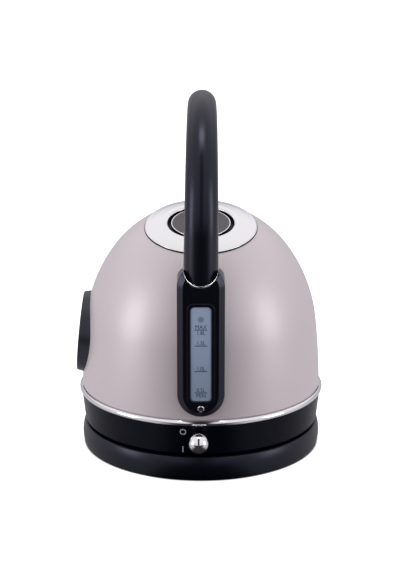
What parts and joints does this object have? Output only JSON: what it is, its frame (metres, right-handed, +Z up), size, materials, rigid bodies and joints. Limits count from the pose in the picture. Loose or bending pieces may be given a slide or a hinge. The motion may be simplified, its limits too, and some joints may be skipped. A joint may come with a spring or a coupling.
{
  "type": "electric kettle",
  "caption": "Cordless electric kettle with a domed steel body, hook handle over the lid, water gauge, side temperature dial, rocker switch and 360-degree power base.",
  "frame": {"origin": "on the body axis, on the table plane under the power base", "axes": "+Z up; -Y towards the handle, water gauge and switch; +Y towards the spout; -X towards the temperature dial"},
  "size_m": [0.2016, 0.2431, 0.2903],
  "materials": {
    "body_paint": "satin pearl lacquer, warm grey-pink",
    "chrome": "polished",
    "steel": "brushed",
    "heat_spreader": "plain",
    "satin_black": "satin",
    "gloss_black": "gloss",
    "dial_black": "satin",
    "knob_grey": "satin",
    "dark_plastic": "matt",
    "brass": "plain",
    "window": "clear, slightly smoked",
    "gauge_blue": "translucent blue-grey",
    "mark_dark": "printed",
    "mark_white": "printed",
    "dial_white": "matt print",
    "dial_glass": "clear",
    "needle_red": "satin",
    "rubber": "matt"
  },
  "bodies": {
    "base": {"base_cover": "satin_black", "base_bottom": "dark_plastic", "base_feet": "rubber", "base_socket": "dark_plastic", "base_contacts": "brass", "base_screws": "steel", "cord_gland": "rubber"},
    "coupler": {"coupler": "dark_plastic", "coupler_pins": "brass"},
    "kettle": {"body_shell": "body_paint", "spout": "body_paint", "trim_ring": "chrome", "collar": "satin_black", "underside_plate": "dark_plastic", "underside_screws": "steel", "tank_floor": "steel", "heat_plate": "heat_spreader", "heating_element": "steel", "floor_seal": "rubber", "controller": "dark_plastic", "steam_tube": "steel", "lid_seat": "dark_plastic", "handle_grip": "satin_black", "handle_core": "steel", "handle_ring": "chrome", "handle_end": "satin_black", "gauge_bracket": "gloss_black", "gauge_frame": "gloss_black", "gauge_window": "window", "gauge_back": "gauge_blue", "gauge_marks": "mark_dark", "gauge_seals": "rubber", "gauge_screws": "steel", "dial_bezel": "dial_black", "dial_face": "dial_white", "dial_marks": "mark_dark", "dial_glass": "dial_glass", "dial_sensor": "brass", "dial_seal": "rubber", "switch_bezel": "dark_plastic", "switch_bearing": "dark_plastic", "switch_pin": "steel", "switch_marks": "mark_white"},
    "lid": {"lid_base": "dark_plastic", "lid_ring": "chrome", "lid_gasket": "rubber", "knob_base": "dark_plastic", "knob_rim": "chrome", "knob_cap": "knob_grey", "knob_screw": "steel"},
    "filter": {"filter_frame": "steel", "filter_mesh": "steel"},
    "needle": {"dial_needle": "needle_red"},
    "switch": {"switch_lever": "satin_black", "switch_ball": "chrome"}
  },
  "joints": [
    {"name": "kettle_lift", "type": "slide", "parent": "base", "child": "coupler", "axis": [0, 0, 1], "range_m": [0, 0.1]},
    {"name": "kettle_swivel", "type": "hinge", "parent": "coupler", "child": "kettle", "pos_m": [0, 0, 0], "axis": [0, 0, 1], "continuous": true},
    {"name": "lid_lift", "type": "slide", "parent": "kettle", "child": "lid", "axis": [0, -0.2588, 0.9659], "range_m": [0, 0.036]},
    {"name": "filter_pull", "type": "slide", "parent": "kettle", "child": "filter", "axis": [0, -0.9397, -0.342], "range_m": [0, 0.016]},
    {"name": "needle_turn", "type": "hinge", "parent": "kettle", "child": "needle", "pos_m": [-0.0986, 0, 0.0925], "axis": [0.9954, 0, -0.0958], "range_deg": [-54, 216]},
    {"name": "switch_flip", "type": "hinge", "parent": "kettle", "child": "switch", "pos_m": [-0.0017, -0.0835, 0.0352], "axis": [1, 0, 0], "range_deg": [0, 16]}
  ]
}
